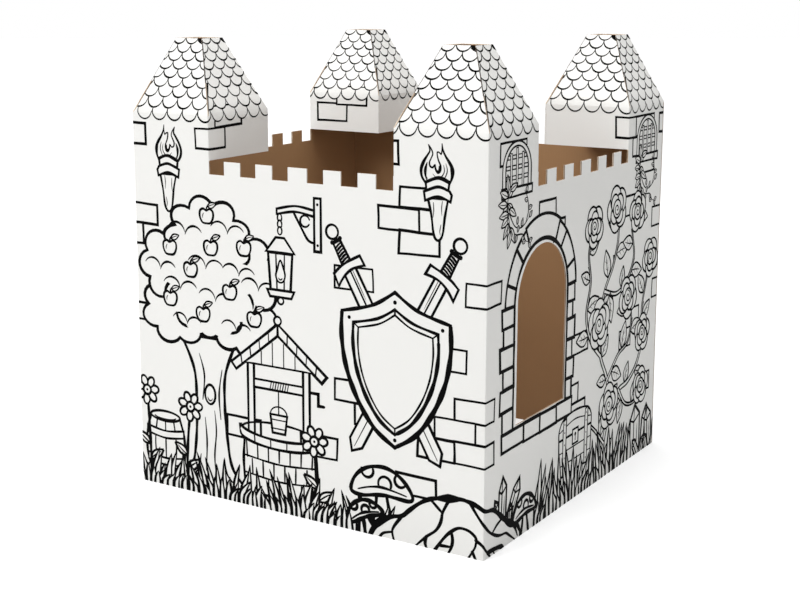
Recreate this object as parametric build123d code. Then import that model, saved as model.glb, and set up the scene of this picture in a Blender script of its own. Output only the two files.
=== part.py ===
from build123d import *
from math import atan2, cos, hypot, sin
import os

# A child's play castle folded from two sheets of corrugated board.
# One sheet makes the front and right walls, the other the back and left walls.
# Lengths are in millimetres. The origin is the middle of the floor, +Z is up,
# the front wall faces -Y and the wall with the window faces +X.

# Board
board = 3.5
fold_radius = 2.5
glue_gap = 0.3

# Plan
castle_side = 960.0
tower_side = 229.0

# Heights, one above the other from the floor: wall, tower upright, roof
wall_height = 816.0
tower_rise = 103.0
roof_rise = 173.0

# Battlements along the top of each wall
gap_count = 6
gap_width = 44.0
gap_depth = 32.0
middle_merlon = 52.0

# Roof of each tower, open at its top
roof_opening = 78.0
hip_slot = 0.9
lap_share = 0.42

# Arched window in the right wall
window_width = 246.0
window_sill = 265.0
board_above_window = 130.0
window_from_corner = 264.0

# Flap glued behind the next sheet
glue_flap_width = 46.0
glue_flap_inset = 12.0
glue_flap_bevel = 16.0

# Tabs that lock the roof hips and the inner corners of the towers
hip_tab_width = 26.0
hip_tab_inset = 11.0
hip_tab_bevel = 9.0
panel_tab_width = 24.0
panel_tab_height = 44.0
panel_tab_inset = 7.0
eave_relief = 2.0

# How far a cutter runs past the board on each side
overshoot = 1.0

# Sizes that follow from the ones above
eave_height = wall_height + tower_rise
window_top = wall_height - gap_depth - board_above_window
half_side = castle_side / 2
half_tower = tower_side / 2
tower_centre = half_side - half_tower
wall_span = castle_side - 2 * tower_side
lap = board + glue_gap
roof_lean = (tower_side - roof_opening) / 2
roof_slope = hypot(roof_lean, roof_rise)
lean_angle = atan2(roof_lean, roof_rise)
lap_top = eave_height + lap_share * roof_rise
eave_lap = board / cos(lean_angle) + glue_gap
reach = 2 * (tower_side + roof_rise)

# Sides of a tower, named in the frame of the front left tower.
# Each angle turns the side that faces -Y onto the named side.
OUTER_WALL = 0
COVER_PANEL = 90
TAB_PANEL = 180
TRIMMED_WALL = 270


def block(x0, x1, y0, y1, z0, z1):
    """A box given by its lowest and highest corners."""
    centre = Pos((x0 + x1) / 2, (y0 + y1) / 2, (z0 + z1) / 2)
    return centre * Box(x1 - x0, y1 - y0, z1 - z0)


def roof_face(turn, depth=0.0):
    """Place on a roof face's eave line, that many millimetres inside its outer surface."""
    face = Plane(
        origin=(0, -half_tower, eave_height),
        x_dir=(1, 0, 0),
        z_dir=(0, -cos(lean_angle), sin(lean_angle)),
    )
    return Rot(0, 0, turn) * face.location * Pos(0, 0, -depth)


def inside_roof_face(turn, depth):
    """All the space that lies inside a roof face by at least that depth."""
    return roof_face(turn, depth) * Pos(0, 0, -reach / 2) * Box(reach, reach, reach)


def mitre_wedge(low):
    """The quarter of the tower in front of its axis above a height, less half the slot at each hip."""
    start = -hip_slot / 2 ** 0.5
    corners = Polyline((0, start), (-reach, start - reach), (reach, start - reach), close=True)
    top = eave_height + roof_rise + board
    return Pos(0, 0, low) * extrude(make_face(corners), top - low)


def hip_tab():
    """Tab of the -Y roof flap, folded under the flap on its left."""
    left = TRIMMED_WALL
    slope_rate = roof_lean / roof_slope
    lap_length = lap_share * roof_slope
    low = hip_tab_inset
    high = lap_length - hip_tab_inset
    low_hip = half_tower - low * slope_rate
    high_hip = half_tower - high * slope_rate
    outline = Polyline(
        (low_hip + lap, low),
        (high_hip + lap, high),
        (high_hip, high),
        (high_hip - hip_tab_width, high - hip_tab_bevel),
        (low_hip - hip_tab_width, low + hip_tab_bevel),
        (low_hip, low),
        close=True,
    )
    tab = extrude(roof_face(left, lap) * make_face(outline), -board)
    return tab & inside_roof_face(OUTER_WALL, 0)


def roof_flap():
    """The roof flap on the -Y side of a tower, lapped and locked low on its hips."""
    outline = Rectangle(2 * tower_side, roof_slope, align=(Align.CENTER, Align.MIN))
    slab = extrude(roof_face(OUTER_WALL) * outline, -board)
    mitred = slab & mitre_wedge(lap_top)

    step = lap_top - hip_slot
    foot = eave_height - board
    lapped = slab & block(-half_tower + lap, half_tower, -half_tower, 0, foot, lap_top)
    lapped = lapped & inside_roof_face(TRIMMED_WALL, lap)
    lapped = lapped & inside_roof_face(COVER_PANEL, 0)
    below_step = lapped & block(-half_tower, half_tower, -half_tower, 0, foot, step)
    at_step = lapped & mitre_wedge(step)
    return mitred + at_step + below_step + hip_tab()


def tower_side_panel(side, corner_folded):
    """The upright board on one side of a tower, from the merlon tops to the eave."""
    s = half_tower
    low = wall_height
    high = eave_height
    if side == OUTER_WALL:
        panel = block(-s, s, -s, -s + board, low, high)
        if not corner_folded:
            panel -= block(-s, -s + eave_lap, -s, -s + board, high - eave_relief, high)
        return panel
    if side == COVER_PANEL:
        return block(s - board, s, -s, s, low, high)
    if side == TAB_PANEL:
        panel = block(-s, s - lap, s - board, s, low, high)
        panel -= block(s - eave_lap, s, s - board, s, high - eave_relief, high)
        return panel + panel_tab()
    trim = 0 if corner_folded else lap
    return block(-s, -s + board, -s + trim, s, low, high)


def panel_tab():
    """Tab at the foot of a tower's inner corner, tucked behind the cover panel."""
    s = half_tower
    low = wall_height + panel_tab_inset
    bevel = panel_tab_width / 3
    outline = Polyline(
        (s, low),
        (s, low + panel_tab_height),
        (s - panel_tab_width, low + panel_tab_height - bevel),
        (s - panel_tab_width, low + bevel),
        close=True,
    )
    behind_cover = Plane(origin=(s - lap, 0, 0), x_dir=(0, 1, 0), z_dir=(1, 0, 0))
    return extrude(behind_cover * make_face(outline), -board)


def tower_upright(sides, corner_folded):
    """The uprights of a tower that belong to one sheet."""
    panels = [tower_side_panel(side, corner_folded) for side in sides]
    joined = panels[0]
    for panel in panels[1:]:
        joined += panel
    return joined


def battlement_gaps():
    """Cutters for the gaps between merlons, along a wall that faces -Y."""
    merlon_count = gap_count - 1
    side_merlon = (wall_span - gap_count * gap_width - middle_merlon) / (merlon_count - 1)
    low = wall_height - gap_depth
    outside = -half_side - overshoot
    inside = -half_side + board + overshoot
    start = -wall_span / 2
    cutters = []
    for index in range(gap_count):
        cutter = block(start, start + gap_width, outside, inside, low, wall_height + overshoot)
        cutters.append(cutter)
        merlon = middle_merlon if index == merlon_count // 2 else side_merlon
        start += gap_width + merlon
    return cutters


def window_cutter():
    """The arched window, cut right through the wall that faces +X."""
    radius = window_width / 2
    centre_y = -half_side + window_from_corner
    spring = window_top - radius
    outside = Plane(origin=(half_side + overshoot, centre_y, 0), x_dir=(0, 1, 0), z_dir=(1, 0, 0))
    jambs = Pos(0, (window_sill + spring) / 2) * Rectangle(window_width, spring - window_sill)
    head = Pos(0, spring) * Circle(radius)
    return extrude(outside * (jambs + head), -(board + 2 * overshoot))


def glue_flap():
    """The flap at the back right corner, folded in behind the back wall."""
    low = glue_flap_inset
    high = wall_height - glue_flap_inset
    inner = half_side - glue_flap_width
    outline = Polyline(
        (half_side, low),
        (half_side, high),
        (half_side - board, high),
        (inner, high - glue_flap_bevel),
        (inner, low + glue_flap_bevel),
        (half_side - board, low),
        close=True,
    )
    inside_back_wall = Plane(origin=(0, half_side - lap, 0), x_dir=(1, 0, 0), z_dir=(0, -1, 0))
    return extrude(inside_back_wall * make_face(outline), board)


def upright_fold(part, x, y):
    """Round the outside of the upright fold that passes through x and y."""
    edges = part.edges().filter_by(Axis.Z)
    near = 0.01
    chosen = [e for e in edges if abs(e.center().X - x) < near and abs(e.center().Y - y) < near]
    return fillet(chosen, fold_radius)


def folded_sheet(with_window):
    """Front wall, right wall and their share of the four towers, folded from one sheet."""
    trimmed_end = half_side - lap
    sheet = block(-half_side, half_side, -half_side, -half_side + board, 0, wall_height)
    sheet += block(half_side - board, half_side, -half_side, trimmed_end, 0, wall_height)

    # Towers as x, y, turn, sides on this sheet, and whether the outer corner is a fold
    all_sides = (OUTER_WALL, COVER_PANEL, TAB_PANEL, TRIMMED_WALL)
    towers = (
        (-tower_centre, -tower_centre, 0, (OUTER_WALL, COVER_PANEL), False),
        (tower_centre, -tower_centre, 90, all_sides, True),
        (tower_centre, tower_centre, 180, (TAB_PANEL, TRIMMED_WALL), False),
    )
    for x, y, turn, sides, folded in towers:
        sheet += Pos(x, y, 0) * Rot(0, 0, turn) * tower_upright(sides, folded)

    inner = half_side - tower_side
    folds = (
        (half_side, -half_side),
        (-inner, -half_side),
        (inner, -half_side),
        (half_side, -inner),
        (half_side, inner),
    )
    for x, y in folds:
        sheet = upright_fold(sheet, x, y)

    sheet += glue_flap()
    sheet = upright_fold(sheet, half_side, trimmed_end)
    for x, y, turn, sides, folded in towers:
        for side in sides:
            sheet += Pos(x, y, 0) * Rot(0, 0, turn + side) * roof_flap()

    for cutter in battlement_gaps():
        sheet -= cutter
        sheet -= Rot(0, 0, 90) * cutter
    if with_window:
        sheet -= window_cutter()
    return sheet


os.makedirs("parts", exist_ok=True)
front_right_sheet = folded_sheet(with_window=True)
back_left_sheet = Rot(0, 0, 180) * folded_sheet(with_window=False)
export_step(front_right_sheet, "parts/front_right_sheet.step")
export_step(back_left_sheet, "parts/back_left_sheet.step")
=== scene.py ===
import math
import random

import bmesh
import bpy
from mathutils import Matrix, Vector, noise
from mathutils.geometry import delaunay_2d_cdt, tessellate_polygon


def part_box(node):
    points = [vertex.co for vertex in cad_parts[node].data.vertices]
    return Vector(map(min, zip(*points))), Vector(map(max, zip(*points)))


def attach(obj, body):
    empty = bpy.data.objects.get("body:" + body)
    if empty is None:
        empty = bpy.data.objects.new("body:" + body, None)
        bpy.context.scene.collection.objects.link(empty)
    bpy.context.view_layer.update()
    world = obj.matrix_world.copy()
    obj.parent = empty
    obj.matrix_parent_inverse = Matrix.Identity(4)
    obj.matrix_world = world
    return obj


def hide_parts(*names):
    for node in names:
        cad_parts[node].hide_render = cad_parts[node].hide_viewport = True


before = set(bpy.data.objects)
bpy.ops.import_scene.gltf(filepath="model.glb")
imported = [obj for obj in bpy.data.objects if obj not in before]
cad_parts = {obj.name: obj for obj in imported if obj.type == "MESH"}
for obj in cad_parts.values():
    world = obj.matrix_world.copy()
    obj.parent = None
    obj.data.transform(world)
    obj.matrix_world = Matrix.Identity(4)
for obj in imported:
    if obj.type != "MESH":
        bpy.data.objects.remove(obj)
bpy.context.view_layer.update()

# A child's play castle, folded from two printed sheets of corrugated board.
# Each sheet of the frame gets a copy with its liners and cut edges. The print is drawn on the flat
# sheet, cut at the folds and folded up with the board.

# Sizes of the castle, in millimetres
# A place on the flat sheet is (s, z): s runs along the walls, seen from outside, with 0 in the middle
# of the sheet's first wall, and z is the height above the floor, or along a roof flap above the eave.
MM = 0.001
_, high_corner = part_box("front_right_sheet")
HALF_SIDE = high_corner.x / MM
CASTLE_SIDE = 2 * HALF_SIDE
TOTAL_HEIGHT = high_corner.z / MM
BOARD = 3.5
CLEARANCE = 0.3
FOLD_RADIUS = 2.5
LAP = BOARD + CLEARANCE
TOWER_SIDE = 229.0
WALL_HEIGHT = 816.0
EAVE = 919.0
GAP_BOTTOM = 784.0
ROOF_OPENING = 78.0
HIP_SLOT = 0.9
LAP_SHARE = 0.42
WINDOW_CENTRE = 744.0
WINDOW_SILL = 265.0
WINDOW_SPRING = 531.0
FLUTE_PITCH = 7.7

ROOF_LEAN = (TOWER_SIDE - ROOF_OPENING) / 2
ROOF_RISE = TOTAL_HEIGHT - EAVE
ROOF_SLOPE = math.hypot(ROOF_LEAN, ROOF_RISE)
LEAN_SIN = ROOF_LEAN / ROOF_SLOPE
LEAN_COS = ROOF_RISE / ROOF_SLOPE
LAP_TOP = LAP_SHARE * ROOF_SLOPE
INNER = HALF_SIDE - TOWER_SIDE
CORNER = HALF_SIDE
SHEET_END = CORNER + CASTLE_SIDE - LAP


# The folded sheet
def run_along(start, *corners):
    """A path along the outside of the board: its corners as (s, x, y), with the outside on its right."""
    path = [(start, *corners[0])]
    for a, b in zip(corners, corners[1:]):
        path.append((path[-1][0] + math.dist(a, b), *b))
    return path


WALL_PATH = run_along(-CORNER, (-HALF_SIDE, -HALF_SIDE), (HALF_SIDE, -HALF_SIDE), (HALF_SIDE, HALF_SIDE))
TOWER_PATHS = [
    run_along(-CORNER, (-HALF_SIDE, -HALF_SIDE), (-INNER, -HALF_SIDE), (-INNER, -INNER)),
    run_along(INNER - TOWER_SIDE, (INNER, -INNER), (INNER, -HALF_SIDE), (HALF_SIDE, -HALF_SIDE),
              (HALF_SIDE, -INNER), (INNER, -INNER)),
    run_along(CORNER + CASTLE_SIDE - 2 * TOWER_SIDE,
              (INNER, INNER), (HALF_SIDE, INNER), (HALF_SIDE, HALF_SIDE)),
]

# The back left sheet is the front right one turned half round, so each of its points takes this turn
TURNS = {"front_right": Matrix.Identity(3), "back_left": Matrix.Rotation(math.pi, 3, "Z")}

# Board is never quite flat: a gentle bow, and a smaller one that sets in above the walls. With the
# seed they are the same in every run.
WALL_BOW, WALL_BOW_SCALE = 1.6 * MM, 1.5
FLAP_BOW, FLAP_BOW_SCALE = 0.9 * MM, 5.5
FLAP_BOW_PLACE = Vector((7, 3, 1))
FLAP_BOW_RISE = 0.2
noise.seed_set(7)


def outward(a, b):
    """Unit step along the run from a to b, and the unit normal on its right."""
    step = Vector((b[1] - a[1], b[2] - a[2])).normalized()
    return step, Vector((step.y, -step.x))


def fold_up(path, s, z, lift):
    """The point that lies a lift in front of the folded sheet, in metres, for a place on the flat sheet."""
    index = 0
    while index < len(path) - 2 and s > path[index + 1][0]:
        index += 1
    a, b = path[index], path[index + 1]
    step, normal = outward(a, b)
    flat = Vector((a[1], a[2])) + step * (s - a[0])
    if z >= EAVE:
        up = z - EAVE
        side = flat - normal * (up * LEAN_SIN - lift * LEAN_COS)
        return Vector((side.x, side.y, EAVE + up * LEAN_COS + lift * LEAN_SIN)) * MM

    for k in (index + 1, index):
        away = s - path[k][0]
        if 0 < k < len(path) - 1 and abs(away) < FOLD_RADIUS:
            before = outward(path[k - 1], path[k])[1]
            after = outward(path[k], path[k + 1])[1]
            angle = (away / FOLD_RADIUS + 1) * math.pi / 4
            middle = Vector(path[k][1:]) - (before + after) * FOLD_RADIUS
            round_side = before * math.cos(angle) + after * math.sin(angle)
            side = middle + round_side * (FOLD_RADIUS + lift)
            return Vector((side.x, side.y, z)) * MM
    side = flat + normal * lift
    return Vector((side.x, side.y, z)) * MM


def bend(point):
    """Moves a point sideways with the bow of the board; heights stay as they are."""
    wall = noise.noise_vector(point * WALL_BOW_SCALE) * WALL_BOW
    flap = noise.noise_vector(point * FLAP_BOW_SCALE + FLAP_BOW_PLACE) * FLAP_BOW
    share = min(max((point.z - WALL_HEIGHT * MM) / FLAP_BOW_RISE, 0), 1)
    move = wall + flap * share
    return point + Vector((move.x, move.y, 0))


def flap_outline(left, right):
    """The part of a roof flap that shows, on the flat sheet, between the hips at its eave corners."""
    under = LAP / LEAN_COS
    slot = HIP_SLOT / 2 ** 0.5
    inset = LEAN_SIN * LAP_TOP
    step = EAVE + LAP_TOP
    top = EAVE + ROOF_SLOPE
    return [
        (left + under, EAVE),
        (right, EAVE),
        (right - inset, step),
        (right - inset - slot, step),
        (right - ROOF_LEAN - slot, top),
        (left + ROOF_LEAN + slot, top),
        (left + inset + slot, step),
        (left + inset + under, step),
    ]


def sheet_regions():
    """Outlines on the flat sheet inside which print can lie, each with its path."""
    wall = [(-CORNER, 0), (SHEET_END, 0), (SHEET_END, WALL_HEIGHT), (-CORNER, WALL_HEIGHT)]
    regions = [(wall, WALL_PATH)]
    for number, path in enumerate(TOWER_PATHS):
        first, last = path[0][0], path[-1][0]
        if number > 0:
            first += LAP
        last = min(last, SHEET_END)
        regions.append(([(first, WALL_HEIGHT), (last, WALL_HEIGHT), (last, EAVE), (first, EAVE)], path))
        for a, b in zip(path, path[1:]):
            regions.append((flap_outline(a[0], b[0]), [a, b]))
    return regions


def inside(point, outline):
    """Whether a point of the flat sheet lies in an outline."""
    within = False
    for (s0, z0), (s1, z1) in zip(outline, outline[1:] + outline[:1]):
        if (z0 > point[1]) != (z1 > point[1]):
            if point[0] < s0 + (point[1] - z0) * (s1 - s0) / (z1 - z0):
                within = not within
    return within


# Drawing on the flat sheet
# How bold lines are, how far and how fast their width swings, and how thick an end is made round
LINE_WEIGHT = 1.35
WIDTH_SWING = 0.13
SWING_RATE = 0.35
ROUND_END = 0.6
# Limits below which two points, an area or a step count as nothing, and for the corners of a line
SAME_PLACE = 0.01
SMALLEST_AREA = 0.02
SHORTEST_STEP = 0.001
SHARPEST_TURN = 0.2
SHARPEST_MITRE = 0.55


def curve(points, closed=False, step=3.5):
    """Points along a smooth curve through the given ones."""
    count = len(points)
    result = []
    for i in range(count if closed else count - 1):
        a, b = points[i], points[(i + 1) % count]
        before = points[i - 1] if closed or i > 0 else a
        after = points[(i + 2) % count] if closed or i + 2 < count else b
        pieces = max(2, round(math.dist(a, b) / step))
        for k in range(pieces):
            t = k / pieces
            weights = (-t + 2 * t ** 2 - t ** 3, 2 - 5 * t ** 2 + 3 * t ** 3,
                       t + 4 * t ** 2 - 3 * t ** 3, t ** 3 - t ** 2)
            result.append(tuple(
                sum(w * p[axis] for w, p in zip(weights, (before, a, b, after))) / 2 for axis in (0, 1)
            ))
    if not closed:
        result.append(points[-1])
    return result


def straight(points, closed=False, step=24.0):
    """Points along the straight runs between the given ones."""
    result = []
    ends = points[1:] + points[:1] if closed else points[1:]
    for a, b in zip(points, ends):
        pieces = max(1, round(math.dist(a, b) / step))
        for k in range(pieces):
            result.append((a[0] + (b[0] - a[0]) * k / pieces, a[1] + (b[1] - a[1]) * k / pieces))
    if not closed:
        result.append(points[-1])
    return result


def arc(s, z, radius, start=0.0, end=360.0, height=None):
    """Points on a part of a circle or an ellipse, angles in degrees."""
    height = radius if height is None else height
    pieces = max(5, round(abs(end - start) / 360 * (10 + radius * 0.7)))
    angles = [math.radians(start + (end - start) * k / pieces) for k in range(pieces + 1)]
    if abs(end - start) >= 360:
        angles.pop()
    return [(s + radius * math.cos(a), z + height * math.sin(a)) for a in angles]


class Drawing:
    """Shapes on the flat sheet, each an outline with a layer; a later one covers an earlier one."""

    def __init__(self, seed):
        self.shapes = []
        self.random = random.Random(seed)

    def add(self, outline, layer):
        """Adds an outline, anticlockwise, unless it is too small to print."""
        clean = [p for i, p in enumerate(outline) if math.dist(p, outline[i - 1]) > SAME_PLACE]
        if len(clean) < 3:
            return
        pairs = zip(clean, clean[1:] + clean[:1])
        area = sum(a[0] * b[1] - a[1] * b[0] for a, b in pairs)
        if abs(area) < SMALLEST_AREA:
            return
        self.shapes.append((clean if area > 0 else clean[::-1], layer))


def corner_of_line(before, point, after):
    """The direction across a line at one of its points, and how much wider its corner is than its runs."""
    first = Vector(point) - Vector(before)
    second = Vector(after) - Vector(point)
    first = first.normalized() if first.length > SHORTEST_STEP else second.normalized()
    second = second.normalized() if second.length > SHORTEST_STEP else first
    middle = first + second
    middle = middle.normalized() if middle.length > SHARPEST_TURN else first
    return Vector((-middle.y, middle.x)), 1 / max(middle.dot(second), SHARPEST_MITRE)


class Pen:
    """Draws in axes of its own, which may be moved, scaled, turned and mirrored on the sheet."""

    def __init__(self, drawing, layer, s=0.0, z=0.0, scale=1.0, turn=0.0, mirror=False, weight=LINE_WEIGHT):
        self.drawing = drawing
        self.random = drawing.random
        self.layer = layer
        self.origin = (s, z)
        self.scale = scale
        self.turn = turn
        self.cos = math.cos(math.radians(turn))
        self.sin = math.sin(math.radians(turn))
        self.mirror = -1 if mirror else 1
        self.weight = weight

    def moved(self, s=0.0, z=0.0, scale=1.0, turn=0.0):
        """A pen like this one, further on in its own axes."""
        place = self.to_sheet([(s, z)])[0]
        turn = self.turn + turn * self.mirror
        return Pen(self.drawing, self.layer, *place, self.scale * scale, turn, self.mirror < 0, self.weight)

    def to_sheet(self, points):
        """Points of the pen's axes as places on the flat sheet."""
        result = []
        for x, y in points:
            x, y = x * self.scale * self.mirror, y * self.scale
            result.append((
                self.origin[0] + x * self.cos - y * self.sin,
                self.origin[1] + x * self.sin + y * self.cos,
            ))
        return result

    def paper(self, points):
        """Covers what is under an outline."""
        self.drawing.add(self.to_sheet(points), "")

    def solid(self, points):
        """Fills an outline with ink."""
        self.drawing.add(self.to_sheet(points), self.layer)

    def line(self, points, width, closed=False, ends=(0.8, 0.8)):
        """An ink line whose width varies a little, as a brush leaves it."""
        points = self.to_sheet(points)
        if closed:
            points.append(points[0])
        last = len(points) - 1
        phase = self.random.uniform(0, 6.3)
        left, right = [], []
        for i, point in enumerate(points):
            before = points[i - 1] if i > 0 else (points[-2] if closed else point)
            after = points[i + 1] if i < last else (points[1] if closed else point)
            across, mitre = corner_of_line(before, point, after)
            share = 1.0
            if not closed:
                t = i / last
                share = ends[0] if t < 0.5 else ends[1]
                share += (1 - share) * (min(t, 1 - t) * 2) ** 0.6
            swing = 1 + WIDTH_SWING * math.sin(phase + i * SWING_RATE)
            reach = across * (width * self.weight * share * swing * mitre / 2)
            left.append((point[0] + reach.x, point[1] + reach.y))
            right.append((point[0] - reach.x, point[1] - reach.y))
        for i in range(last):
            self.drawing.add([right[i], right[i + 1], left[i + 1], left[i]], self.layer)
        if not closed:
            for i, share in ((0, ends[0]), (last, ends[1])):
                if share >= ROUND_END:
                    self.drawing.add(arc(*points[i], width * self.weight * share / 2), self.layer)

    def stroke(self, points, width, ends=(0.8, 0.8), step=3.5):
        """An ink line along the smooth curve through the points."""
        self.line(curve(points, step=step), width, ends=ends)

    def shape(self, points, width):
        """A closed outline that covers what is under it."""
        self.paper(points)
        self.line(points, width, closed=True)

    def panel(self, points, width):
        """A closed outline with straight sides."""
        self.shape(straight(points, closed=True), width)

    def ring(self, x, y, radius, width, height=None):
        """A circle or an ellipse."""
        self.shape(arc(x, y, radius, height=height), width)

    def dot(self, x, y, radius):
        """A round spot of ink."""
        self.solid(arc(x, y, radius))


# Masonry
# The usual size of a brick, how far its corners shift, and the share of that for the rest of its sides
BRICK_LENGTH, BRICK_HEIGHT = 100.0, 48.0
BRICK_SHIFT = 1.6
EDGE_SHIFT = 0.25


def brick(pen, left, right, low, high, width=4.2):
    """One brick outline, a little uneven at its corners and less so along its sides."""
    def shift():
        return pen.random.uniform(-BRICK_SHIFT, BRICK_SHIFT)

    corners = [(left + shift(), low + shift()), (right + shift(), low + shift()),
               (right + shift(), high + shift()), (left + shift(), high + shift())]
    outline = []
    for x, y in straight(corners, closed=True):
        outline.append((x + shift() * EDGE_SHIFT, y + shift() * EDGE_SHIFT))
    pen.shape(outline, width * pen.random.uniform(0.85, 1.15))


def bricks(pen, places):
    """Bricks given by their left and right ends, their foot and their top."""
    for left, right, low, high in places:
        brick(pen, left, right, low, high)


def window_surround(pen):
    """Stones round the arched window; the print sits a little to the left of the cut."""
    inner, wide, high = 134.0, 178.0, 184.0
    width = 6.2
    steps = 9

    def stone(start, end, grow=0.0):
        turns = [math.radians(start + (end - start) * k / steps) for k in range(steps + 1)]
        outer = [((wide + grow) * math.cos(t), WINDOW_SPRING + (high + grow) * math.sin(t)) for t in turns]
        back = [(inner * math.cos(t), WINDOW_SPRING + inner * math.sin(t)) for t in reversed(turns)]
        pen.shape(outer + back, width)

    for start, end in ((178, 162), (162, 136), (136, 118), (62, 47), (47, 19.6), (19.6, 2)):
        stone(start, end)
    stone(118, 62, grow=5.0)

    sill = WINDOW_SILL - 6
    levels = [sill, 309, 358, 403, 452, 494, WINDOW_SPRING + 4]
    left_edges = [-185, -196, -184, -198, -184, -191]
    right_edges = [166, 177, 165, 179, 165, 174]
    for k, (low, top) in enumerate(zip(levels, levels[1:])):
        brick(pen, left_edges[k], -inner, low, top, width)
        brick(pen, inner, right_edges[k], low, top, width)
    course = [-186, -81, 2, 89, 172]
    for left, right in zip(course, course[1:]):
        brick(pen, left, right, sill - 41, sill, width * 0.9)
    arch = [(-inner, sill), (-inner, WINDOW_SPRING)] + arc(0, WINDOW_SPRING, inner, 180, 0) + [(inner, sill)]
    pen.line(straight(arch, step=15), 7.2)
    pen.line(straight([(-inner - 50, sill), (inner + 38, sill)]), 6.2)


# Shingles of the roofs
# The heights at which the rows begin, above the eave and along the slope; then how much the rows
# narrow towards the top, and the ink lines of painted shade at hips that face the window's side and at the
# others
ROW_HEIGHTS = [-15, 14, 41, 66, 89, 111, 132, 153, 175, 197]
ROW_NARROWING = 0.17
SHINGLES_ACROSS = 5
SHINGLE_PITCH = TOWER_SIDE / SHINGLES_ACROSS
SHINGLE_START = 14
SHINGLE_POINTS = 12
THIN_SIDE = 1.7
BOLD_HIP_SHADE, FINE_HIP_SHADE = 8.0, 2.4


def inside_hip(outline, corner, way):
    """The part of an outline on one side of the hip that rises from an eave corner."""
    def distance(point):
        return way * (point[0] - corner) - (point[1] - EAVE) * LEAN_SIN

    result = []
    for a, b in zip(outline, outline[1:] + outline[:1]):
        at_a, at_b = distance(a), distance(b)
        if at_a >= 0:
            result.append(a)
        if (at_a < 0) != (at_b < 0):
            t = at_a / (at_a - at_b)
            result.append((a[0] + (b[0] - a[0]) * t, a[1] + (b[1] - a[1]) * t))
    return result


def shingle(pen, left, right, bottom, top, hips):
    """One rounded shingle: thin at its sides, thick along its foot, and cut off at the hips."""
    middle, half = (left + right) / 2, (right - left) / 2
    lean = pen.random.uniform(-0.8, 0.8)
    points = []
    for k in range(SHINGLE_POINTS + 1):
        turn = math.pi * k / SHINGLE_POINTS
        drop = (top - bottom) * math.sin(turn) ** 0.85
        points.append((middle - half * math.cos(turn), top - drop + lean * math.cos(turn)))

    outlines = [([(left, top + 6)] + points + [(right, top + 6)], "")]
    foot = pen.random.uniform(1.6, 3.2)
    shares = [math.sin(math.pi * (k / SHINGLE_POINTS) ** 0.8) ** 1.3 for k in range(len(points))]
    widths = [THIN_SIDE + foot * share for share in shares]
    for k, (a, b) in enumerate(zip(points, points[1:])):
        step = (Vector(b) - Vector(a)).normalized()
        side = Vector((-step.y, step.x))
        start, end = side * widths[k] / 2, side * widths[k + 1] / 2
        corners = (Vector(a) - start, Vector(b) - end, Vector(b) + end, Vector(a) + start)
        outlines.append(([tuple(corner) for corner in corners], pen.layer))
    for outline, layer in outlines:
        for corner, way in hips:
            outline = inside_hip(outline, corner, way)
        pen.drawing.add(outline, layer)


def hip_shade_marks(pen, left, right, width):
    """Painted shade in ink at the cut of a hip, where the gap between the flaps lies in shadow: a dark nick
    at its top, and a line along it that widens over the lap.
    """
    top = EAVE + ROOF_SLOPE
    hip = right - ROOF_LEAN
    # Painted shade: a dark nick where the gap at the hip opens at the top.
    pen.solid([(hip - 10, top), (hip - 9, top - 7), (hip - 2, top - 12), (hip + 4, top - 12), (hip, top)])
    foot = left + LAP / LEAN_COS
    runs = ((4, 42, foot, 0.15, 0.4), (42, LAP_TOP, foot, 0.4, 0.9),
            (LAP_TOP, ROOF_SLOPE - 4, left + HIP_SLOT, 0.32, 0.25))
    for low, high, start, low_share, high_share in runs:
        a, b = start + LEAN_SIN * low, start + LEAN_SIN * high
        pen.solid([(a, EAVE + low), (a + width * low_share, EAVE + low),
                   (b + width * high_share, EAVE + high), (b, EAVE + high)])


def roof_side(pen, left):
    """The rows of shingles above the eave row on one side of a tower."""
    right, middle = left + TOWER_SIDE, left + TOWER_SIDE / 2
    for row in range(1, len(ROW_HEIGHTS) - 1):
        bottom, top = ROW_HEIGHTS[row], ROW_HEIGHTS[row + 1]
        squeeze = 1 - ROW_NARROWING * bottom / ROOF_SLOPE
        for column in range(-1, SHINGLES_ACROSS + 1):
            start = left + SHINGLE_START + (column + 0.5 * (row % 2)) * SHINGLE_PITCH
            start = middle + (start - middle) * squeeze + pen.random.uniform(-0.8, 0.8)
            end = start + SHINGLE_PITCH * squeeze
            shingle(pen, start, end, EAVE + bottom, EAVE + top, ((left, 1), (right, -1)))


def roofs(drawing, sheet):
    """Rows of rounded shingles on each tower, from the one that hangs over the eave up to its top, and
    painted shade in ink along the hips.
    """
    # The shingles layer also holds the painted shade along the hips.
    pen = Pen(drawing, "shingles")
    for path in TOWER_PATHS:
        first = path[0][0]
        sides = len(path) - 1
        for column in range(sides * SHINGLES_ACROSS):
            start = first + SHINGLE_START + column * SHINGLE_PITCH
            shingle(pen, start, start + SHINGLE_PITCH, EAVE + ROW_HEIGHTS[0], EAVE + ROW_HEIGHTS[1], ())
        for side in range(sides):
            left = first + side * TOWER_SIDE
            roof_side(pen, left)
            facing = TURNS[sheet] @ outward(path[side], path[side + 1])[1].to_3d()
            # Painted shade along each hip, bolder on the sides that face the window's side.
            hip_shade_marks(pen, left, left + TOWER_SIDE, BOLD_HIP_SHADE if facing.x > 0.5 else FINE_HIP_SHADE)


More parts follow.
